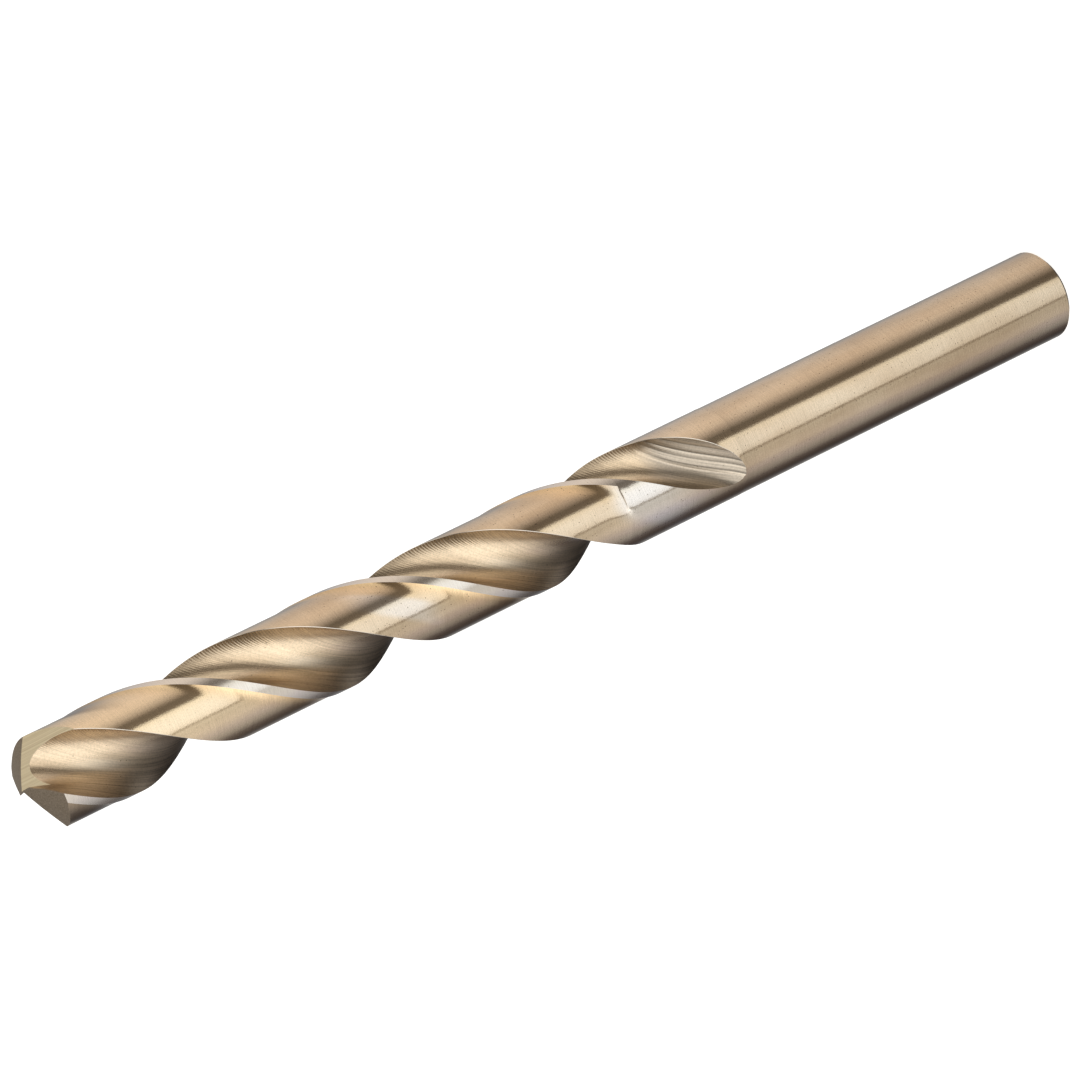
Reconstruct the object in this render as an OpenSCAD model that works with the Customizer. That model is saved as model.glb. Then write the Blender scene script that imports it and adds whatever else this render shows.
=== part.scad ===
// Twist drill with a cylindrical shank, two right-hand flutes and a split point.
// It stands on its shank end: Z runs up the axis to the tip, the lips lie along X at the tip.

/* [Blank] */
// Diameter over the cutting margins
drill_diameter = 10; // [9.6:0.1:10.6]
// Amount by which the plain shank is ground under that diameter
shank_undersize = 0.05; // [0.02:0.01:0.1]
// Length of the slight cone between the shank and the fluted body
shank_blend = 0.6; // [0.6:0.1:1]
// Length from the shank end to the tip
overall_length = 133; // [126:1:140]
// Width of the chamfer round the shank end
end_chamfer = 0.5; // [0.3:0.1:1]

/* [Flutes] */
// Length from the tip back to the end of the flutes' run-out
flute_length = 87; // [80:1:92]
// Helix angle of the margins
helix_angle = 31.5; // [29:0.5:34]
// Thickness of the web between the flutes at the tip
web_thickness = 2.1; // [1.9:0.1:2.3]
// Growth of the web toward the shank, in mm for each mm of length
web_growth = 0.014; // [0.01:0.001:0.018]
// Radius of each flute's hollow, seen square to the axis
hollow_radius = 3.4; // [3.2:0.1:3.5]
// Angle round the axis from a margin's edge to the heel across the flute, at the tip
span_at_tip = 96.5; // [92:0.5:100]
// The same angle at the end of the run-out
span_at_run_out = 81.5; // [80:0.5:86]
// Length over which a flute climbs to the surface of the shank
run_out_length = 10; // [8:0.5:14]
// Bearing of that climb, from the margin's edge round the axis
run_out_bearing = 47; // [40:1:52]

/* [Lands] */
// Width of each margin, measured round the drill
margin_width = 1; // [0.7:0.1:1.4]
// Depth by which the land behind a margin is cleared
body_clearance = 0.17; // [0.1:0.01:0.3]
// Length from the tip back to the shoulder where that clearance ends
clearance_length = 71.8; // [66:0.2:74]

/* [Point] */
// Angle between the two lips
point_angle = 135; // [130:1:140]
// Distance from the axis forward to the line of each lip's outer corner
lip_offset = 1.2; // [1.1:0.05:1.3]
// Half angle of the cone that each flank is ground to
flank_cone_angle = 35; // [30:1:40]
// Distance from the drill's axis back along the lip to that cone's apex
flank_apex_distance = 12; // [11:0.5:14]
// Distance from a lip's line forward to the cone's own axis, which gives the lip its relief
flank_offset = 0.6; // [0.4:0.1:0.9]

/* [Split point] */
// Angle between the floor of each notch and the axis
notch_floor_angle = 37; // [35:0.5:39]
// Bearing that the floor faces, from the lip round the axis
notch_bearing = 59; // [57:1:61]
// Depth of the floor's plane below the tip
notch_depth = 0.15; // [0.1:0.01:0.16]
// Turn of the notch's wall on its floor
notch_wall_turn = 25; // [21:1:28]
// Distance left between the axis and the wall of each notch
notch_standoff = 0.1; // [0.1:0.01:0.15]

/* [Hidden] */
$fn = 96;

drill_radius = drill_diameter / 2;
shank_radius = drill_radius - shank_undersize / 2;
land_radius = drill_radius - body_clearance;
lead = PI * drill_diameter / tan(helix_angle);
shoulder_height = overall_length - clearance_length;
run_out_height = overall_length - flute_length;
climb_height = run_out_height + run_out_length;

// The outer corner of a lip is where the margin's edge starts
lip_slope = 90 - point_angle / 2;
corner_bearing = asin(lip_offset / drill_radius);
corner_height = overall_length - drill_radius * cos(corner_bearing) * tan(lip_slope);

// Ridges and cutters reach this far past the faces that they meet
overlap = 0.5;
// The open side of a cutter stands this far off the body
overshoot = 2.5;
// A flute's outline turns at its two rims this far outside the body, so each rim lies on a single strip
rim_relief = 0.03;
heel_radius = land_radius + rim_relief;

// Sections in each turn of a flute or margin, and along a flute's climb
sections_in_turn = 60;
climb_sections = 24;
// Chords across a flute's hollow and its rake face
hollow_chords = 12;
rake_chords = 3;

// Bearing of a margin's edge at a height
function margin_bearing(z) = corner_bearing + 360 * (z - corner_height) / lead;
function polar(radius, angle) = radius * [cos(angle), sin(angle)];

// The web swells and the flutes narrow evenly toward the shank
function web_radius(z) = (web_thickness + web_growth * (overall_length - z)) / 2;
function flute_span(z) =
    span_at_tip + (span_at_run_out - span_at_tip) * (overall_length - z) / flute_length;

// The hollow touches the web and passes through the heel, which fixes the bearing of its middle
function hollow_bearing(reach, span) =
    span - acos((reach * reach + heel_radius * heel_radius - hollow_radius * hollow_radius)
        / (2 * reach * heel_radius));

// Angles about the hollow's middle, from the heel down to the foot of the straight rake face
function hollow_angles(middle, heel) =
    let (
        to_corner = [drill_radius, 0] - middle,
        rake = atan2(to_corner.y, to_corner.x) - acos(hollow_radius / norm(to_corner)),
        to_heel = heel - middle,
        first = atan2(to_heel.y, to_heel.x)
    )
    [for (i = [0 : hollow_chords]) first + (rake + 360 - first) * i / hollow_chords];

// Outline of a flute square to the axis, before it is turned to the margin's bearing
function flute_outline(z) =
    let (
        reach = web_radius(z) + hollow_radius,
        span = flute_span(z),
        middle = polar(reach, hollow_bearing(reach, span)),
        heel = polar(heel_radius, span),
        angles = hollow_angles(middle, heel),
        hollow = [for (a = angles) middle + polar(hollow_radius, a)],
        foot = hollow[hollow_chords],
        edge = [drill_radius + rim_relief, 0],
        rake = [for (i = [1 : rake_chords]) foot + (edge - foot) * i / rake_chords],
        past_heel = hollow[0] + polar(overshoot, angles[0] - 90),
        past_edge = edge + (edge - foot) * overshoot / norm(edge - foot),
        outer = polar(drill_radius + 2 * overshoot, span / 2)
    )
    concat([outer, past_heel], hollow, rake, [past_edge]);

// The climb lifts the whole outline outward, ever faster, until the flute leaves the shank
function climb(z) =
    (drill_radius - web_radius(run_out_height)) * pow(max(0, climb_height - z) / run_out_length, 2);

// An outline turned about the axis and set at its height
function turned(outline, turn, z) =
    [for (p = outline) [cos(turn) * p.x - sin(turn) * p.y, sin(turn) * p.x + cos(turn) * p.y, z]];

// Sections lie closer together along the climb, where the outline changes fast
function section_heights(bottom, top) =
    let (
        step = lead / sections_in_turn,
        turns = ceil((top - climb_height) / step),
        fine = (climb_height - bottom) / climb_sections
    )
    concat(
        [for (i = [0 : climb_sections - 1]) bottom + fine * i],
        [for (i = [0 : turns]) climb_height + (top - climb_height) * i / turns]
    );

// Skins a stack of sections that all have the same number of points, each run anticlockwise
module skin(sections) {
    count = len(sections[0]);
    last = len(sections) - 1;
    side = [
        for (i = [0 : last - 1], j = [0 : count - 1])
            let (k = (j + 1) % count, low = i * count, high = low + count)
            each [[low + j, high + j, high + k], [low + j, high + k, low + k]]
    ];
    foot = [[for (j = [0 : count - 1]) j]];
    head = [[for (j = [0 : count - 1]) last * count + count - 1 - j]];
    polyhedron(points = [for (s = sections) each s], faces = concat(foot, side, head));
}

// The turned blank: chamfered shank, full diameter where the flutes start, cleared body above the shoulder
module blank() {
    rotate_extrude()
        polygon([
            [0, 0],
            [shank_radius - end_chamfer, 0],
            [shank_radius, end_chamfer],
            [shank_radius, run_out_height - shank_blend],
            [drill_radius, run_out_height],
            [drill_radius, shoulder_height],
            [land_radius, shoulder_height],
            [land_radius, overall_length],
            [0, overall_length]
        ]);
}

// A helical ridge that leaves the margin proud of the land, trimmed to the true diameter
module margin() {
    width_angle = margin_width / drill_radius * 180 / PI;
    bottom = shoulder_height - overlap;
    top = corner_height + overlap;
    steps = ceil((top - bottom) * sections_in_turn / lead);
    outline = [
        polar(land_radius - overlap, -width_angle),
        polar(drill_radius + overlap, -width_angle),
        polar(drill_radius + overlap, width_angle / 2),
        polar(land_radius - overlap, width_angle / 2)
    ];
    intersection() {
        skin([
            for (i = [0 : steps])
                let (z = bottom + (top - bottom) * i / steps)
                turned(outline, margin_bearing(z), z)
        ]);
        cylinder(r = drill_radius, h = overall_length);
    }
}

// A flute, from where it leaves the shank to past the tip
module flute_cutter() {
    skin([
        for (z = section_heights(run_out_height - overlap, overall_length + overlap))
            let (lift = polar(climb(z), run_out_bearing))
            turned([for (p = flute_outline(z)) p + lift], margin_bearing(z), z)
    ]);
}

// What lies outside the cone that one flank is ground to
module flank_cutter() {
    run = flank_apex_distance * cos(lip_slope);
    across = lip_offset + flank_offset;
    axis_slope = lip_slope + flank_cone_angle;
    // Drop from the apex to the cone's surface on the drill's axis
    narrow = pow(cos(flank_cone_angle), 2);
    a = pow(sin(axis_slope), 2) - narrow;
    b = run * sin(axis_slope) * cos(axis_slope);
    c = run * run * (pow(cos(axis_slope), 2) - narrow) - narrow * across * across;
    drop = c / (b + sqrt(b * b - a * c));
    cone_height = 4 * drill_diameter;
    difference() {
        translate([-drill_diameter, -drill_diameter, corner_height - overshoot])
            cube([2 * drill_diameter, 2 * drill_diameter, overshoot + drill_diameter]);
        translate([-run, across, overall_length - drop])
            rotate([0, 90 + axis_slope, 0])
                cylinder(r1 = 0, r2 = cone_height * tan(flank_cone_angle), h = cone_height);
    }
}

// A notch of the split point: a flat floor that thins the web and a wall that makes the inner lip
module notch_cutter() {
    translate([0, 0, overall_length])
        rotate([0, 90 - notch_floor_angle, notch_bearing])
            rotate([0, 0, -notch_wall_turn])
                translate([-drill_diameter, notch_standoff, -notch_depth])
                    cube([2 * drill_diameter, drill_diameter, drill_diameter]);
}

module twist_drill() {
    color("darkkhaki")
        difference() {
            union() {
                blank();
                for (half = [0, 180])
                    rotate(half) margin();
            }
            for (half = [0, 180])
                rotate(half) {
                    flute_cutter();
                    flank_cutter();
                    notch_cutter();
                }
        }
}

twist_drill();
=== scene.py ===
import math

import bmesh
import bpy
from mathutils import Matrix, Vector


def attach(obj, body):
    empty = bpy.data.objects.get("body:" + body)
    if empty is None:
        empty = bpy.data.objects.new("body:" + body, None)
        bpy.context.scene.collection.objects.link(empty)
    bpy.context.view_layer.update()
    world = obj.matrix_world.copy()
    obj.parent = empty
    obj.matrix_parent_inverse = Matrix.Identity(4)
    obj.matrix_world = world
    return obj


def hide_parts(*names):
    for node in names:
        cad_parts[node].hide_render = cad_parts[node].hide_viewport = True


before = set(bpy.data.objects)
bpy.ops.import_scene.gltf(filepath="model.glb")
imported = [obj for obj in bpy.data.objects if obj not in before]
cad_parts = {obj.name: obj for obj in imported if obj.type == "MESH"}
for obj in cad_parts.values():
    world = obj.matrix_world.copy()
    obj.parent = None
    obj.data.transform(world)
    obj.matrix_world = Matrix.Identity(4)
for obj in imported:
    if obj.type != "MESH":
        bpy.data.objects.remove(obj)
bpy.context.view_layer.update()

# The camera looks down on the upright drill from beside its tip, at the photograph's angle.
# It is rolled so that the drill lies across the picture with its tip at the lower left.
MM = 0.001
camera_place = Vector((383.458, 286.411, 340.716)) * MM
camera_right = Vector((0.618095, -0.087415, -0.781230))
camera_up = Vector((-0.363695, 0.849241, -0.382775))
camera_data = bpy.data.cameras.new("camera")
camera_data.sensor_width = 36
camera_data.lens = 180.064
camera_data.clip_start = 0.01
camera_data.clip_end = 20
camera = bpy.data.objects.new("camera", camera_data)
camera.matrix_world = Matrix.Translation(camera_place) @ Matrix(
    (camera_right, camera_up, camera_right.cross(camera_up))
).transposed().to_4x4()
bpy.context.scene.collection.objects.link(camera)
bpy.context.scene.camera = camera
bpy.context.scene.view_settings.view_transform = "Standard"

# The studio is a tent of cloth panels hung round the drill in two rows, some lit and some left dark.
# The bright steel mirrors them, so that they give it its bands, and the camera sees white behind it.
# Each stop is a bearing round the drill from the camera's side, in degrees, and the panels' light there.
# These lights and the dimming below began as colours sampled from the photograph, divided by the steel's
# own colour, and were then adjusted by comparing the render with it.
low_row = [
    (-180, (0.50, 0.50, 0.51)), (-167, (0.40, 0.40, 0.41)), (-158, (0.21, 0.23, 0.25)),
    (-150, (0.15, 0.15, 0.17)), (-141, (0.07, 0.07, 0.08)), (-128, (0.07, 0.06, 0.06)),
    (-114, (0.12, 0.11, 0.12)), (-97, (0.34, 0.34, 0.36)), (-79, (0.52, 0.50, 0.54)),
    (-60, (0.68, 0.65, 0.63)), (-44, (0.64, 0.62, 0.58)), (-34.5, (0.70, 0.69, 0.66)),
    (-33, (0.32, 0.28, 0.23)), (-30, (0.32, 0.28, 0.23)), (-28.5, (0.97, 0.98, 0.99)),
    (-14, (1.12, 1.16, 1.20)), (4, (1.15, 1.18, 1.20)), (16, (1.10, 1.10, 1.04)),
    (22, (0.20, 0.175, 0.15)), (36, (0.17, 0.15, 0.13)), (53, (0.55, 0.49, 0.45)),
    (66, (0.80, 0.71, 0.64)), (82, (0.87, 0.77, 0.70)), (106, (0.76, 0.69, 0.65)),
    (130, (0.64, 0.60, 0.60)), (148, (0.48, 0.48, 0.50)), (162, (0.32, 0.33, 0.35)),
    (180, (0.50, 0.50, 0.51)),
]
high_row = [
    (-180, (0.30, 0.29, 0.28)), (-150, (0.26, 0.25, 0.25)), (-120, (0.58, 0.56, 0.55)),
    (-90, (0.94, 0.92, 0.90)), (-60, (1.34, 1.34, 1.32)), (-20, (1.40, 1.40, 1.38)),
    (0, (1.14, 1.10, 1.04)), (12, (0.94, 0.90, 0.84)), (20, (0.14, 0.12, 0.10)),
    (39, (0.14, 0.12, 0.10)), (49, (0.90, 0.86, 0.78)), (90, (0.62, 0.58, 0.54)),
    (135, (0.42, 0.40, 0.38)), (180, (0.30, 0.29, 0.28)),
]
# How the panels dim toward the ground and overhead, by the height of the direction's unit vector
dimming = [
    (-1.0, 0.75), (-0.96, 0.60), (-0.93, 0.16), (-0.88, 0.10), (-0.82, 0.13), (-0.75, 0.24),
    (-0.68, 0.42), (-0.60, 0.74), (-0.54, 1.0), (0.15, 1.0), (0.40, 0.90), (0.72, 1.0), (1.0, 0.6),
]
# The heights of that vector between which one row gives way to the other
rows_meet = (-0.44, -0.18)
# The brightest panel's light, which the others are shares of, because a ramp holds none above 1
tent_strength = 1.4
tent_bearing = math.degrees(math.atan2(camera_place.y, camera_place.x))
world = bpy.data.worlds.new("tent")
world.use_nodes = True
bpy.context.scene.world = world
tent = world.node_tree
tent.nodes.clear()


def node(tree, kind, inputs=None, **settings):
    """A new node with these settings, whose inputs are constants or other nodes' outputs."""
    made = tree.nodes.new("ShaderNode" + kind)
    for name, value in settings.items():
        setattr(made, name, value)
    for name, value in (inputs or {}).items():
        if isinstance(value, bpy.types.NodeSocket):
            tree.links.new(value, made.inputs[name])
        else:
            made.inputs[name].default_value = value
    return made


def ranged(tree, value, low, high, to_low=0, to_high=1, soft=True):
    """A value taken from one range to another, with soft or plain ends."""
    kind = "SMOOTHSTEP" if soft else "LINEAR"
    return node(
        tree, "MapRange",
        {"Value": value, "From Min": low, "From Max": high, "To Min": to_low, "To Max": to_high},
        interpolation_type=kind,
    ).outputs["Result"]


def mixed(tree, share, first, second, kind="MIX"):
    """A share of the second colour over the first, where a colour is an output or a constant."""
    first, second = [(*c, 1) if isinstance(c, tuple) else c for c in (first, second)]
    return node(
        tree, "Mix", {"Factor": share, "A": first, "B": second}, data_type="RGBA", blend_type=kind
    ).outputs["Result"]


def ramp(tree, share, stops, low, high):
    """Colours along a ramp, whose stops are given as (place between low and high, colour)."""
    made = node(tree, "ValToRGB", {"Fac": share})
    elements = made.color_ramp.elements
    for at, colour in stops[1:-1]:
        elements.new((at - low) / (high - low))
    for element, (at, colour) in zip(elements, stops):
        element.position = (at - low) / (high - low)
        element.color = (*colour, 1)
    return made.outputs["Color"]


def panel_row(share, row):
    lights = [(at, [part / tent_strength for part in light]) for at, light in row]
    return ramp(tent, share, lights, -180, 180)


way = node(tent, "TexCoord").outputs["Generated"]
way = node(
    tent, "VectorRotate", {"Vector": way, "Angle": -math.radians(tent_bearing)}, rotation_type="Z_AXIS"
).outputs["Vector"]
way = node(tent, "SeparateXYZ", {"Vector": way}).outputs
bearing = node(tent, "Math", {0: way["Y"], 1: way["X"]}, operation="ARCTAN2").outputs["Value"]
bearing = ranged(tent, bearing, -math.pi, math.pi, soft=False)
row_share = ranged(tent, way["Z"], *rows_meet, soft=False)
rise = ranged(tent, way["Z"], -1, 1, soft=False)
dimmed = ramp(tent, rise, [(at, [share] * 3) for at, share in dimming], -1, 1)
panels = mixed(tent, row_share, panel_row(bearing, low_row), panel_row(bearing, high_row))
panels = mixed(tent, 1, panels, dimmed, "MULTIPLY")
lit = node(tent, "Background", {"Color": panels, "Strength": tent_strength}).outputs["Background"]
white = node(tent, "Background", {"Color": (1, 1, 1, 1)}).outputs["Background"]
seen = node(tent, "LightPath").outputs["Is Camera Ray"]
shown = node(tent, "MixShader", {"Fac": seen, 1: lit, 2: white}).outputs["Shader"]
node(tent, "OutputWorld", {"Surface": shown})

# The floor is a white sheet that the drill stands on, lit from below so that it photographs white.
# It keeps the drill's faint shadow, and the steel mirrors the tent's panels rather than the floor.
floor_size = 6.0
floor_white = (0.85, 0.85, 0.85, 1)
floor_glow = 0.76
floor_bm = bmesh.new()
bmesh.ops.create_grid(floor_bm, x_segments=1, y_segments=1, size=floor_size / 2)
floor_mesh = bpy.data.meshes.new("floor")
floor_bm.to_mesh(floor_mesh)
floor_bm.free()
floor = bpy.data.objects.new("floor", floor_mesh)
bpy.context.scene.collection.objects.link(floor)
floor.visible_glossy = False
floor_material = bpy.data.materials.new("floor_sheet")
floor_material.use_nodes = True
floor_surface = floor_material.node_tree.nodes["Principled BSDF"]
floor_surface.inputs["Base Color"].default_value = floor_white
floor_surface.inputs["Roughness"].default_value = 1.0
floor_surface.inputs["Emission Color"].default_value = (1, 1, 1, 1)
floor_surface.inputs["Emission Strength"].default_value = floor_glow
floor_mesh.materials.append(floor_material)

# The drill is one bar of high-speed steel, ground all over: the flutes are ground into a round blank,
# the land behind each margin is cleared by a wheel with a rounded edge, and the shank is left plain.
# Its sizes are in mm and degrees. It stands on its shank end, and Z runs up its axis to the tip.
drill_radius = 5.0
shank_radius = 4.975
land_radius = 4.83
overall_length = 133.0
end_chamfer = 0.5
shank_blend = 0.6
run_out_height = 46.0
run_out_length = 10.0
run_out_bearing = 47.0
climb_height = run_out_height + run_out_length
shoulder_height = 61.2
flute_length = overall_length - run_out_height
helix_angle = 31.5
lead = 2 * math.pi * drill_radius / math.tan(math.radians(helix_angle))
web_thickness = 2.1
web_growth = 0.014
hollow_radius = 3.4
span_at_tip = 96.5
span_at_run_out = 81.5
margin_width = 1.0
margin_angle = math.degrees(margin_width / drill_radius)
lip_offset = 1.2
point_angle = 135.0
lip_slope = 90 - point_angle / 2
corner_bearing = math.degrees(math.asin(lip_offset / drill_radius))
corner_height = overall_length - (
    drill_radius * math.cos(math.radians(corner_bearing)) * math.tan(math.radians(lip_slope))
)
# The clearing wheel's rounded edge leaves a hollow this wide beside each margin
fillet_width = 1.45
fillet_angle = math.degrees(fillet_width / drill_radius)
# Where the wheel stops at the shoulder it leaves a sharp end, which fades between these bearings back
# from the margin's edge. The end has these lengths, and part of the faded one lies below the shoulder.
stop_bearings = (38, 58)
stop_length = 0.12
faded_length = 5.0
faded_below = 0.35 * faded_length
# The flute's wheel leaves grooves where it lifts out, and a crease at their end. Each groove has its place,
# its half width and its depth, where places and widths are angles about the flute's middle.
wheel_grooves = [
    (181, 2.6, 0.018), (192, 3, 0.026), (207, 3.4, 0.042), (218, 3, 0.034), (232, 3.2, 0.038),
]
crease_place = 239.5
crease_width = 3.0
crease_height = 0.05
# Above this height these marks bend toward the heel, by so many degrees for each mm squared,
# and they fade out over this length at the top of the climb
marks_bend_from = 47.5
marks_bend = 1.07
marks_fade = 3
# A narrow chamfer along each heel
heel_chamfer = 0.045
# Each flute's line reaches this far past both of its rims before it is trimmed to the blank
rim_overshoot = 3
# Below the run-out the flute's stretch of the outline lies on the shank, at this bearing and this wide
shank_stretch_bearing = 42
shank_stretch_angle = 3


def polar(radius, angle):
    return Vector((radius * math.cos(math.radians(angle)), radius * math.sin(math.radians(angle))))


def bearing_of(point):
    return math.degrees(math.atan2(point.y, point.x))


def margin_bearing(z):
    return corner_bearing + 360 * (z - corner_height) / lead


def smooth(low, high, value):
    share = min(1, max(0, (value - low) / (high - low)))
    return share * share * (3 - 2 * share)


def share_along(points, count):
    """The same line through count points, evenly spaced along it, and its length."""
    far = [0.0]
    for a, b in zip(points, points[1:]):
        far.append(far[-1] + (b - a).length)
    out, k = [], 0
    for i in range(count):
        at = far[-1] * i / (count - 1)
        while k < len(points) - 2 and far[k + 1] < at:
            k += 1
        step = far[k + 1] - far[k]
        out.append(points[k].lerp(points[k + 1], (at - far[k]) / step if step else 0))
    return out, far[-1]


def flute_middle(z):
    """The middle of the flute's hollow, the bearing of its heel, and its lift where it runs out, at a height."""
    reach = (web_thickness + web_growth * (overall_length - z)) / 2 + hollow_radius
    span = span_at_tip + (span_at_run_out - span_at_tip) * (overall_length - z) / flute_length
    turn = span - math.degrees(
        math.acos((reach**2 + land_radius**2 - hollow_radius**2) / (2 * reach * land_radius))
    )
    rise = max(0, climb_height - z) / run_out_length
    lift = polar((drill_radius - (reach - hollow_radius)) * rise**2, run_out_bearing)
    return polar(reach, turn), span, lift


def marks_place(z, out):
    """Where a way out from the flute's middle lies among the wheel's marks, in degrees."""
    bend = marks_bend * max(0, min(z, climb_height) - marks_bend_from) ** 2
    return bearing_of(out) % 360 + bend


def wheel_marks(z, out):
    """How far the steel stands proud of the plain hollow."""
    at = marks_place(z, out)
    proud = crease_height * max(0, 1 - abs(at - crease_place) / crease_width)
    for groove, width, depth in wheel_grooves:
        proud -= depth * max(0, 1 - abs(at - groove) / width)
    return proud * smooth(0, marks_fade, climb_height - z)


def flute_line(z):
    """The flute's line across, from outside the margin's edge to outside the heel."""
    hollow_chords, rake_chords = 240, 20
    middle, span, lift = flute_middle(z)
    edge = Vector((drill_radius, 0))
    to_edge = edge - middle
    to_heel = polar(land_radius, span) - middle
    last = math.degrees(
        math.atan2(to_edge.y, to_edge.x) - math.acos(hollow_radius / to_edge.length)
    ) + 360
    first = bearing_of(to_heel)
    hollow = []
    for i in range(hollow_chords + 1):
        out = polar(1, last + (first - last) * i / hollow_chords)
        hollow.append(middle + out * (hollow_radius - wheel_marks(z, out)))
    rake = [edge.lerp(hollow[0], i / rake_chords) for i in range(rake_chords)]
    before = edge + (edge - hollow[0]).normalized() * rim_overshoot
    after = hollow[-1] + polar(rim_overshoot, first - 90)
    return [p + lift for p in (before, *rake, *hollow, after)]


def inside_part(points, radius_in, radius_out):
    """The part of a line inside the drill, which it enters at one radius and leaves at another."""
    halvings = 40
    forward = range(len(points) - 1)
    crossings = []
    for wanted, order in ((radius_in, forward), (radius_out, reversed(forward))):
        for k in order:
            a, b = points[k], points[k + 1]
            if (a.length - wanted) * (b.length - wanted) <= 0 and a.length != b.length:
                low, high = 0.0, 1.0
                for _ in range(halvings):
                    half = (low + high) / 2
                    if (a.lerp(b, half).length - wanted) * (a.length - wanted) > 0:
                        low = half
                    else:
                        high = half
                crossings.append((k, a.lerp(b, low)))
                break
    if len(crossings) < 2 or crossings[0][0] > crossings[1][0]:
        return None
    (first, start), (last, end) = crossings
    return [start, *points[first + 1:last + 1], end]


def body_radius(z):
    """The blank's radius where nothing is cleared."""
    if z < end_chamfer:
        return shank_radius - end_chamfer + z
    share = min(1, max(0, (z - run_out_height + shank_blend) / shank_blend))
    return shank_radius + (drill_radius - shank_radius) * share


def land_depth(z, back):
    """How deep the land is cleared at a height and a bearing back from the margin's edge."""
    faded = smooth(*stop_bearings, back)
    length = stop_length + (faded_length - stop_length) * faded
    start = shoulder_height - faded_below * faded
    return (drill_radius - land_radius) * smooth(0, length, z - start)


# How many points lie on each stretch of half the outline, and how many of the land's are in its hollow
flute_points = 88
land_points = 34
margin_points = 6
fillet_points = 14
half_points = flute_points + land_points + margin_points
last_land = flute_points + land_points - 1


def half_outline(z):
    """Half of the outline at a height, from the margin's edge on X, and each point's distance across its strip."""
    heel_radius = drill_radius - land_depth(z, 90) - heel_chamfer
    line = inside_part(flute_line(z), drill_radius, heel_radius) if z >= run_out_height else None
    flute_shares = [i / (flute_points - 1) for i in range(flute_points)]
    if line is None:
        bearings = [shank_stretch_bearing + shank_stretch_angle * share for share in flute_shares]
        flute = [polar(body_radius(z), bearing) for bearing in bearings]
        length = math.radians(shank_stretch_angle) * drill_radius
    else:
        flute, length = share_along(line, flute_points)
    across = [length * (1 - share) for share in flute_shares]
    heel_angle = bearing_of(flute[-1])
    edge_angle = 180 + bearing_of(flute[0])
    back = edge_angle - margin_angle
    first = heel_angle + math.degrees(heel_chamfer / drill_radius)
    plain = land_points - fillet_points
    bearings = [first + (back - fillet_angle - first) * i / (plain - 1) for i in range(plain)]
    bearings += [back - fillet_angle + fillet_angle * (i + 1) / fillet_points for i in range(fillet_points)]
    land = []
    for bearing in bearings:
        climb = max(0, 1 - (back - bearing) / fillet_angle) ** 3
        depth = land_depth(z, edge_angle - bearing) * (1 - climb)
        land.append(polar(body_radius(z) - depth, bearing))
        across.append(math.radians(bearing - heel_angle) * drill_radius)
    margin = [
        polar(body_radius(z), back + margin_angle * (i + 1) / (margin_points + 1)) for i in range(margin_points)
    ]
    return flute + land + margin, across


def steps(start, end, step):
    """Heights from a start to short of an end, a step apart."""
    return [start + step * i for i in range(math.ceil((end - start) / step))]


# The outline is followed from the shank's end to past the tip, in steps fine enough to look smooth. A thin
# ring lies just below the run-out, growing steps above it, and short ones at the clearing wheel's sharp end.
shank_step = 2.8
run_out_step = 0.12
climb_step = 0.35
flute_step = 0.36
thin_ring = 0.02
first_step, step_growth, growing_steps = 0.01, 1.35, 9
stop_steps = 5
past_tip = 0.5
heights = [0.0, end_chamfer / 2, *steps(end_chamfer, run_out_height, shank_step), run_out_height - thin_ring]
heights += [run_out_height + first_step * step_growth**i for i in range(growing_steps)]
heights += steps(run_out_height + 2 * run_out_step, climb_height, run_out_step)
heights += steps(climb_height, shoulder_height - 2 * climb_step, climb_step)
heights += [shoulder_height - climb_step]
heights += [shoulder_height + stop_length * i / stop_steps for i in range(stop_steps + 1)]
heights += steps(shoulder_height + flute_step, overall_length + past_tip, flute_step)
heights.sort()
halves = [half_outline(z) for z in heights]
middles = [flute_middle(max(z, run_out_height)) for z in heights]
sections = [[*half, *[-p for p in half]] for half, across in halves]

# A grid is rolled round the outlines and closed at both ends. One of its maps holds the distance across
# each strip and the height, in cm, and the other the place among the wheel's marks, in turns.
mm_in_map = 10
weld = 1e-5
land_slot, flute_slot, flank_slot, notch_slot, margin_and_heel_highlight_slot = range(5)
bm = bmesh.new()
strips = bm.loops.layers.uv.new("strips")
marks = bm.loops.layers.uv.new("marks")
around = 2 * half_points
bmesh.ops.create_grid(bm, x_segments=around, y_segments=len(heights) - 1, size=0.5)
places = {
    v: (round((v.co.y + 0.5) * (len(heights) - 1)), round((v.co.x + 0.5) * around)) for v in bm.verts
}
for v, (i, j) in places.items():
    turn = Matrix.Rotation(math.radians(margin_bearing(max(heights[i], run_out_height))), 2)
    p = turn @ sections[i][j % around]
    v.co = Vector((p.x, p.y, heights[i])) * MM
for face in bm.faces:
    corners = [places[loop.vert] for loop in face.loops]
    strip = min(j for i, j in corners) % half_points
    low = heights[min(i for i, j in corners)]
    in_flute = strip < flute_points - 1
    on_heel = strip == flute_points - 1
    on_margin = strip >= last_land
    # The heel's chamfer gets the margins' bright steel, as a painted highlight along the heel.
    if in_flute and low >= run_out_height:
        face.material_index = flute_slot
    elif (on_margin and low >= shoulder_height) or (on_heel and low >= run_out_height):
        face.material_index = margin_and_heel_highlight_slot
    for loop, (i, j) in zip(face.loops, corners):
        distances = halves[i][1]
        point = j % half_points
        if on_margin:
            passed = point - last_land if point else margin_points + 1
            distance = margin_width * passed / (margin_points + 1)
            distance += 0 if face.material_index == margin_and_heel_highlight_slot else distances[last_land]
        elif on_heel and point == flute_points - 1:
            distance = 0
        else:
            distance = distances[point]
        loop[strips].uv = (distance / mm_in_map, heights[i] / mm_in_map)
        middle, span, lift = middles[i]
        loop[marks].uv = (marks_place(heights[i], sections[i][point] - middle - lift) / 360, 0)
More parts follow.
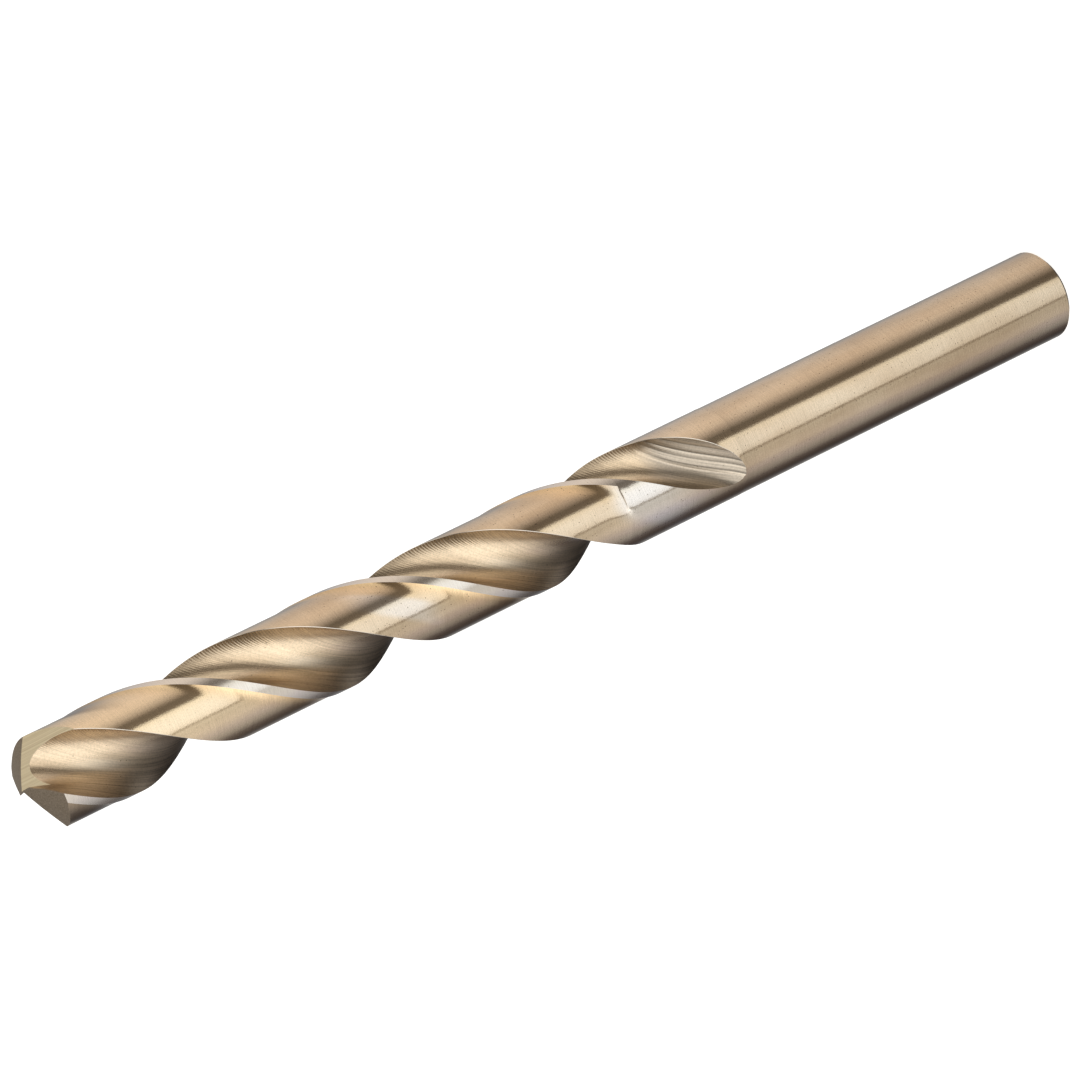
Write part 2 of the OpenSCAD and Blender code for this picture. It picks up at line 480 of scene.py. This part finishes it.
bmesh.ops.remove_doubles(bm, verts=bm.verts, dist=weld * MM)
rims = [e for e in bm.edges if e.is_boundary]
for at_foot in (True, False):
    rim = [e for e in rims if (e.verts[0].co.z < end_chamfer * MM) == at_foot]
    bmesh.ops.triangle_fill(bm, edges=rim, use_beauty=True, use_dissolve=False)
bmesh.ops.recalc_face_normals(bm, faces=bm.faces)
mesh = bpy.data.meshes.new("drill_steel")
bm.to_mesh(mesh)
bm.free()
drill = bpy.data.objects.new("drill_steel", mesh)
bpy.context.scene.collection.objects.link(drill)

# The point is ground last: each flank is part of a cone, and each notch of the split point is flat.
flank_cone_angle = 35.0
flank_apex_distance = 12.0
flank_offset = 0.6
notch_floor_angle = 37.0
notch_bearing = 59.0
notch_depth = 0.15
notch_wall_turn = 25.0
notch_standoff = 0.1
# The grinding tools are as large as they need to be to take away all that lies past their faces
flank_block_size = 20
flank_block_below = 2.5
cone_height = 40.0
cone_segments = 720
notch_block = Vector((20, 10, 10))


def turned(axis, angle):
    return Matrix.Rotation(math.radians(angle), 4, axis)


def moved(x, y, z):
    return Matrix.Translation(Vector((x, y, z)))


def cutter(name, bm, slot):
    """An object made from a bmesh in mm, whose faces leave their material on what they cut."""
    for face in bm.faces:
        face.material_index = slot
    bmesh.ops.scale(bm, vec=(MM, MM, MM), verts=bm.verts)
    mesh = bpy.data.meshes.new(name)
    bm.to_mesh(mesh)
    bm.free()
    made = bpy.data.objects.new(name, mesh)
    bpy.context.scene.collection.objects.link(made)
    return made


def cut(whole, tool):
    """Takes one object away from another."""
    grind = whole.modifiers.new("grind", "BOOLEAN")
    grind.object = tool
    grind.operation = "DIFFERENCE"
    grind.solver = "EXACT"
    grind.material_mode = "INDEX"
    shaped = bpy.data.meshes.new_from_object(whole.evaluated_get(bpy.context.evaluated_depsgraph_get()))
    whole.modifiers.clear()
    whole.data = shaped


# How far below the cone's apex its surface crosses the drill's axis
run = flank_apex_distance * math.cos(math.radians(lip_slope))
flank_side = lip_offset + flank_offset
axis_slope = math.radians(lip_slope + flank_cone_angle)
narrow = math.cos(math.radians(flank_cone_angle)) ** 2
square = math.sin(axis_slope) ** 2 - narrow
linear = run * math.sin(axis_slope) * math.cos(axis_slope)
constant = run**2 * (math.cos(axis_slope) ** 2 - narrow) - narrow * flank_side**2
drop = constant / (linear + math.sqrt(linear**2 - square * constant))
for half in (0, 180):
    bm = bmesh.new()
    block_middle = corner_height - flank_block_below + flank_block_size / 2
    bmesh.ops.create_cube(bm, size=flank_block_size, matrix=moved(0, 0, block_middle))
    block = cutter("flank_block", bm, flank_slot)
    bm = bmesh.new()
    bmesh.ops.create_cone(
        bm, cap_ends=True, segments=cone_segments, radius1=0,
        radius2=cone_height * math.tan(math.radians(flank_cone_angle)), depth=cone_height,
        matrix=moved(0, 0, cone_height / 2),
    )
    bmesh.ops.remove_doubles(bm, verts=bm.verts, dist=weld)
    cone_place = moved(-run, flank_side, overall_length - drop) @ turned("Y", 90 + math.degrees(axis_slope))
    bmesh.ops.transform(bm, verts=bm.verts, matrix=cone_place)
    cone = cutter("flank_cone", bm, flank_slot)
    cut(block, cone)
    block.data.transform(turned("Z", half))
    cut(drill, block)
    bpy.data.objects.remove(block)
    bpy.data.objects.remove(cone)
for half in (0, 180):
    bm = bmesh.new()
    tip = turned("Z", half) @ moved(0, 0, overall_length)
    lie = turned("Z", notch_bearing) @ turned("Y", 90 - notch_floor_angle) @ turned("Z", -notch_wall_turn)
    block_place = moved(0, notch_standoff + notch_block.y / 2, notch_block.z / 2 - notch_depth)
    block_shape = Matrix.Diagonal((*notch_block, 1))
    bmesh.ops.create_cube(bm, size=1, matrix=tip @ lie @ block_place @ block_shape)
    notch = cutter("notch", bm, notch_slot)
    cut(drill, notch)
    bpy.data.objects.remove(notch)
drill.data.name = "drill_steel"

# Edges stay sharp between two finishes and where faces meet at more than this angle
sharp_angle = 20
bm = bmesh.new()
bm.from_mesh(drill.data)
for face in bm.faces:
    face.smooth = True
for edge in bm.edges:
    if len(edge.link_faces) == 2:
        a, b = edge.link_faces
        same = a.material_index == b.material_index
        edge.smooth = same and edge.calc_face_angle() < math.radians(sharp_angle)
bm.to_mesh(drill.data)
bm.free()


def worked(tree, operation, *values):
    """The result of one sum on constants or other nodes' outputs."""
    return node(tree, "Math", dict(enumerate(values)), operation=operation).outputs["Value"]


def times(tree, first, *others):
    for other in others:
        first = worked(tree, "MULTIPLY", first, other)
    return first


def finish_group(name, inputs, outputs):
    """A node group whose inputs are given with their starting values, or None for a place."""
    group = bpy.data.node_groups.new(name, "ShaderNodeTree")
    for socket, start in inputs.items():
        kind = "NodeSocketVector" if start is None else "NodeSocketFloat"
        made = group.interface.new_socket(socket, in_out="INPUT", socket_type=kind)
        if start is not None:
            made.default_value = start
    for socket in outputs:
        group.interface.new_socket(socket, in_out="OUTPUT", socket_type="NodeSocketFloat")
    return group, group.nodes.new("NodeGroupInput").outputs, group.nodes.new("NodeGroupOutput").inputs


# Fine lines that a grinding wheel leaves, as a streak from 0 to 1 that is drawn out along them.
# Noise seldom goes past these two values, so they become 0 and 1.
noise_low, noise_high = 0.3, 0.7
lines_group, given, made = finish_group(
    "grinding_lines", {"Across": 0, "Along": 0, "Lines in a mm": 10, "Length ratio": 30}, ["Streak"]
)
across = times(lines_group, given["Across"], given["Lines in a mm"])
rate = worked(lines_group, "DIVIDE", given["Lines in a mm"], given["Length ratio"])
along = times(lines_group, given["Along"], rate)
drawn_out = node(lines_group, "CombineXYZ", {"X": across, "Y": along}).outputs["Vector"]
noise = node(
    lines_group, "TexNoise", {"Vector": drawn_out, "Scale": 1, "Detail": 3, "Roughness": 0.65}
).outputs["Fac"]
lines_group.links.new(ranged(lines_group, noise, noise_low, noise_high, soft=False), made["Streak"])

# Speckle in the steel's skin: a soft grain, and a few deeper pits that look dark.
pit_cells_in_a_mm = 3.0
pit_edge, pit_floor = 0.20, 0.10
speckle_group, given, made = finish_group(
    "fine_speckle", {"Place": None, "Grains in a mm": 7, "Pits": 0.1}, ["Grain", "Pit"]
)
noise = node(
    speckle_group, "TexNoise", {"Vector": given["Place"], "Scale": given["Grains in a mm"], "Detail": 2}
).outputs["Fac"]
cells = node(speckle_group, "TexVoronoi", {"Vector": given["Place"], "Scale": pit_cells_in_a_mm}).outputs
chance = node(speckle_group, "SeparateColor", {"Color": cells["Color"]}).outputs["Red"]
chosen = worked(speckle_group, "LESS_THAN", chance, given["Pits"])
spot = ranged(speckle_group, cells["Distance"], pit_edge, pit_floor, soft=False)
speckle_group.links.new(ranged(speckle_group, noise, noise_low, noise_high, soft=False), made["Grain"])
speckle_group.links.new(times(speckle_group, spot, chosen), made["Pit"])


def steel(name, roughness):
    """A bare metal material, as its node tree, its surface's inputs and the place on the drill in mm."""
    material = bpy.data.materials.new(name)
    material.use_nodes = True
    tree = material.node_tree
    surface = tree.nodes["Principled BSDF"].inputs
    surface["Metallic"].default_value = 1.0
    surface["Roughness"].default_value = roughness
    where = node(tree, "TexCoord").outputs["Object"]
    place = node(tree, "VectorMath", {0: where, "Scale": 1 / MM}, operation="SCALE").outputs["Vector"]
    drill.data.materials.append(material)
    return tree, surface, place


def strip_place(tree):
    """Distance across the strip from its first edge and height up the drill, in mm."""
    strip = node(tree, "UVMap", uv_map="strips").outputs["UV"]
    scaled = node(tree, "VectorMath", {0: strip, "Scale": mm_in_map}, operation="SCALE").outputs["Vector"]
    split = node(tree, "SeparateXYZ", {"Vector": scaled}).outputs
    return split["X"], split["Y"]


def streaks(tree, across, along, lines, ratio):
    """The wheel's lines, with so many in a mm and each so many times longer than it is wide."""
    inputs = {"Across": across, "Along": along, "Lines in a mm": lines, "Length ratio": ratio}
    return node(tree, "Group", inputs, node_tree=lines_group).outputs["Streak"]


def speckle(tree, place, grains, pits):
    """The grain, with so many in a mm, and the pits, in that share of their cells."""
    inputs = {"Place": place, "Grains in a mm": grains, "Pits": pits}
    group = node(tree, "Group", inputs, node_tree=speckle_group)
    return group.outputs["Grain"], group.outputs["Pit"]


def shaded(tree, colour, shade):
    """A colour made lighter or darker by a value."""
    grey = node(tree, "CombineColor", {"Red": shade, "Green": shade, "Blue": shade}).outputs["Color"]
    return mixed(tree, 1, colour, grey, "MULTIPLY")


def finished(tree, surface, colour, height, depth):
    """Gives a surface its colour and its relief, whose depth is in mm."""
    tree.links.new(colour, surface["Base Color"])
    relief = node(tree, "Bump", {"Strength": 1, "Distance": depth * MM, "Height": height})
    tree.links.new(relief.outputs["Normal"], surface["Normal"])


# The outside is straw-tinted by heat in clouds, with lines ground round it and a fine speckle of pits.
# The tint is paler near the tip, deeper beside the margins and paler in two patches, and a patch near the
# tip is darkened as painted shade. Each change comes in between two heights up the drill, or two distances
# across from the heel.
dark_straw = (0.66, 0.505, 0.34)
pale_straw = (0.85, 0.705, 0.52)
tip_straw = (0.92, 0.74, 0.51)
deep_straw = (0.93, 0.67, 0.38)
pale_patch_steel = (0.86, 0.80, 0.73)
painted_shade_brown = (0.34, 0.27, 0.20)
pit_brown = (0.16, 0.12, 0.08)
cloud_stretch = (1, 1, 0.3)
clouds_in_a_mm = 0.3
tip_heights = (96, 116)
deep_heights, deep_across, deep_share = (60, 64), (4.4, 7.0), 0.75
run_out_comes, run_out_goes, run_out_across = (48, 58), (63.5, 60.5), (2.4, 4.6)
patch_comes, patch_goes, patch_share = (85, 88), (96, 92), 0.6
patch_from_heel, patch_to_margin = (2.0, 3.0), (5.4, 4.6)
painted_shade_heights, painted_shade_across, painted_shade_most = (120, 126), (2.6, 3.8), 0.9
fewer_pits = (102, 94)
tree, surface, place = steel("land_steel", roughness=0.12)
across, height = strip_place(tree)
round_lines = streaks(tree, height, across, lines=9, ratio=40)
grain, pit = speckle(tree, place, grains=6.5, pits=0.3)
drawn_out = node(tree, "VectorMath", {0: place, 1: cloud_stretch}, operation="MULTIPLY").outputs["Vector"]
cloud = node(tree, "TexNoise", {"Vector": drawn_out, "Scale": clouds_in_a_mm, "Detail": 3}).outputs["Fac"]
colour = mixed(tree, ranged(tree, cloud, 0.25, 0.75, soft=False), dark_straw, pale_straw)
colour = mixed(tree, ranged(tree, height, *tip_heights), colour, tip_straw)
deeper = times(tree, ranged(tree, across, *deep_across), ranged(tree, height, *deep_heights, 0, deep_share))
colour = mixed(tree, deeper, colour, deep_straw)
# Two paler patches of the land: one below the shoulder above the run-out, and one farther up the drill.
pale_patch_at_run_out = times(
    tree, ranged(tree, height, *run_out_comes), ranged(tree, height, *run_out_goes),
    ranged(tree, cloud, 0.25, 0.5, 0.6, 1), ranged(tree, across, *run_out_across, 0.15, 1),
)
pale_patch_on_land = times(
    tree, ranged(tree, height, *patch_comes), ranged(tree, height, *patch_goes),
    ranged(tree, across, *patch_from_heel), ranged(tree, across, *patch_to_margin), patch_share,
)
colour = mixed(tree, worked(tree, "MAXIMUM", pale_patch_at_run_out, pale_patch_on_land), colour, pale_patch_steel)
# Painted shade: a patch of the land near the tip is darkened toward brown.
painted_shade_share = times(tree, ranged(tree, across, *painted_shade_across), ranged(tree, height, *painted_shade_heights, 0, painted_shade_most))
colour = mixed(tree, painted_shade_share, colour, painted_shade_brown)
line_shade = ranged(tree, round_lines, 0, 1, 0.92, 1.06, soft=False)
grain_shade = ranged(tree, grain, 0, 1, -0.07, 0.05, soft=False)
colour = shaded(tree, colour, worked(tree, "ADD", line_shade, grain_shade))
pit = times(tree, pit, ranged(tree, height, *fewer_pits, 0.25, 0.9))
colour = mixed(tree, pit, colour, pit_brown)
relief = worked(tree, "MULTIPLY_ADD", grain, 1.6, round_lines)
finished(tree, surface, colour, relief, depth=0.0012)

# In a flute the wheel's lines start square to the heel and turn along the flute farther in, where the
# steel is duller and browner, and darkened as painted shade deep in the flute. Near the heel the wheel's
# feed leaves even grooves, and in the run-out the lines keep beside the marks.
heel_straw = (0.84, 0.675, 0.48)
deep_brown_and_shade = (0.58, 0.48, 0.37)
run_out_straw = (0.86, 0.745, 0.605)
bright_roughness, dull_roughness = 0.27, 0.36
turn_at_heel, turn_inward = 0.35, 0.2
feed_pitch, feed_across, feed_heights = 0.27, (2.8, 0.2), (54, 58)
run_out_heights = (56, 53)
deep_in_flute = (3.4, 7.0)
heel_shadow, shadow_across = 0.62, (0, 1.5)
# Painted light in the run-out: its plain level, a painted highlight on the crease and painted shadow behind it.
plain_shade, crease_lit, crease_painted_shadow = 0.82, 1, 0.74
shade_for_depth = 14
groove_reach = 2.2
tree, surface, place = steel("flute_steel", bright_roughness)
across, height = strip_place(tree)
slope = worked(tree, "MULTIPLY_ADD", across, turn_inward, turn_at_heel)
sweep = worked(tree, "ADD", height, times(tree, across, slope))
feed = worked(tree, "SINE", times(tree, sweep, 2 * math.pi / feed_pitch))
grooves = times(
    tree, ranged(tree, feed, -1, 1), ranged(tree, across, *feed_across), ranged(tree, height, *feed_heights)
)
among_marks = node(tree, "UVMap", uv_map="marks").outputs["UV"]
among_marks = node(tree, "SeparateXYZ", {"Vector": among_marks}).outputs["X"]
beside_marks = times(tree, among_marks, 2 * math.pi * hollow_radius)
in_run_out = ranged(tree, height, *run_out_heights)
lines = node(tree, "Mix", {
    "Factor": in_run_out,
    "A": streaks(tree, sweep, across, lines=2.6, ratio=12),
    "B": streaks(tree, beside_marks, height, lines=3.4, ratio=50),
}).outputs["Result"]
# The run-out's grooves are darkened by their depth as painted shade, and the crease gets a painted highlight.
marks_shade = [(176, plain_shade)]
for groove, width, depth in wheel_grooves:
    marks_shade += [
        (groove - groove_reach, plain_shade),
        (groove, plain_shade - shade_for_depth * depth),
        (groove + groove_reach, plain_shade),
    ]
marks_shade += [
    (crease_place - 2, plain_shade), (crease_place, crease_lit), (crease_place + 4, crease_painted_shadow),
    (290, plain_shade), (360, plain_shade),
]
marks_painted_light = ramp(tree, among_marks, [(at, [light] * 3) for at, light in marks_shade], 0, 360)
grain, pit = speckle(tree, place, grains=5, pits=0.05)
deep = ranged(tree, across, *deep_in_flute)
duller = worked(tree, "MAXIMUM", deep, in_run_out)
# Deep in the flute the colour is browner and darker: partly heat tint and partly painted shade.
colour = mixed(tree, deep, heel_straw, deep_brown_and_shade)
colour = mixed(tree, in_run_out, colour, run_out_straw)
shade = worked(
    tree, "MULTIPLY_ADD", worked(tree, "SUBTRACT", lines, 1),
    ranged(tree, duller, 0, 1, 0.26, 0.56, soft=False), ranged(tree, grain, 0, 1, 1.00, 1.16, soft=False),
)
shade = worked(tree, "MULTIPLY_ADD", grooves, -0.20, shade)
heel_shade = ranged(tree, across, *shadow_across, heel_shadow, 1)
shade = times(tree, shade, worked(tree, "MAXIMUM", heel_shade, in_run_out))
colour = shaded(tree, colour, shade)
colour = mixed(tree, 1, colour, mixed(tree, in_run_out, (1, 1, 1), marks_painted_light), "MULTIPLY")
colour = mixed(tree, pit, colour, pit_brown)
tree.links.new(ranged(tree, duller, 0, 1, bright_roughness, dull_roughness), surface["Roughness"])
relief = worked(tree, "MULTIPLY_ADD", grooves, 1.3, lines)
finished(tree, surface, colour, relief, depth=0.006)

# The flanks are ground dull, with an even grain.
flank_dark, flank_pale = (0.37, 0.30, 0.215), (0.56, 0.465, 0.35)
tree, surface, place = steel("flank_steel", roughness=0.42)
grain, pit = speckle(tree, place, grains=6, pits=0)
colour = mixed(tree, grain, flank_dark, flank_pale)
finished(tree, surface, colour, grain, depth=0.003)

# The notches keep their wheel's straight lines.
across_lines = (-0.766, 0.617, -0.178)
notch_dark, notch_pale = (0.72, 0.60, 0.40), (1.0, 0.89, 0.65)
tree, surface, place = steel("notch_steel", roughness=0.34)
across = node(tree, "VectorMath", {0: place, 1: across_lines}, operation="DOT_PRODUCT").outputs["Value"]
notch_lines = streaks(tree, across, across, lines=5, ratio=1000)
colour = mixed(tree, notch_lines, notch_dark, notch_pale)
finished(tree, surface, colour, notch_lines, depth=0.003)

# The margins are ground last and stay bright. The chamfer along each heel gets the same bright steel as a
# painted highlight along the heel's edge.
margin_and_heel_highlight_dark, margin_and_heel_highlight_pale, margin_pit = (0.80, 0.73, 0.64), (0.90, 0.84, 0.75), (0.2, 0.17, 0.13)
tree, surface, place = steel("margin_and_heel_highlight_steel", roughness=0.24)
across, height = strip_place(tree)
grain, pit = speckle(tree, place, grains=5, pits=0.04)
round_lines = streaks(tree, height, across, lines=7, ratio=30)
colour = mixed(tree, round_lines, margin_and_heel_highlight_dark, margin_and_heel_highlight_pale)
colour = mixed(tree, pit, colour, margin_pit)
finished(tree, surface, colour, grain, depth=0.002)

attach(drill, "root")
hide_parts("twist_drill")
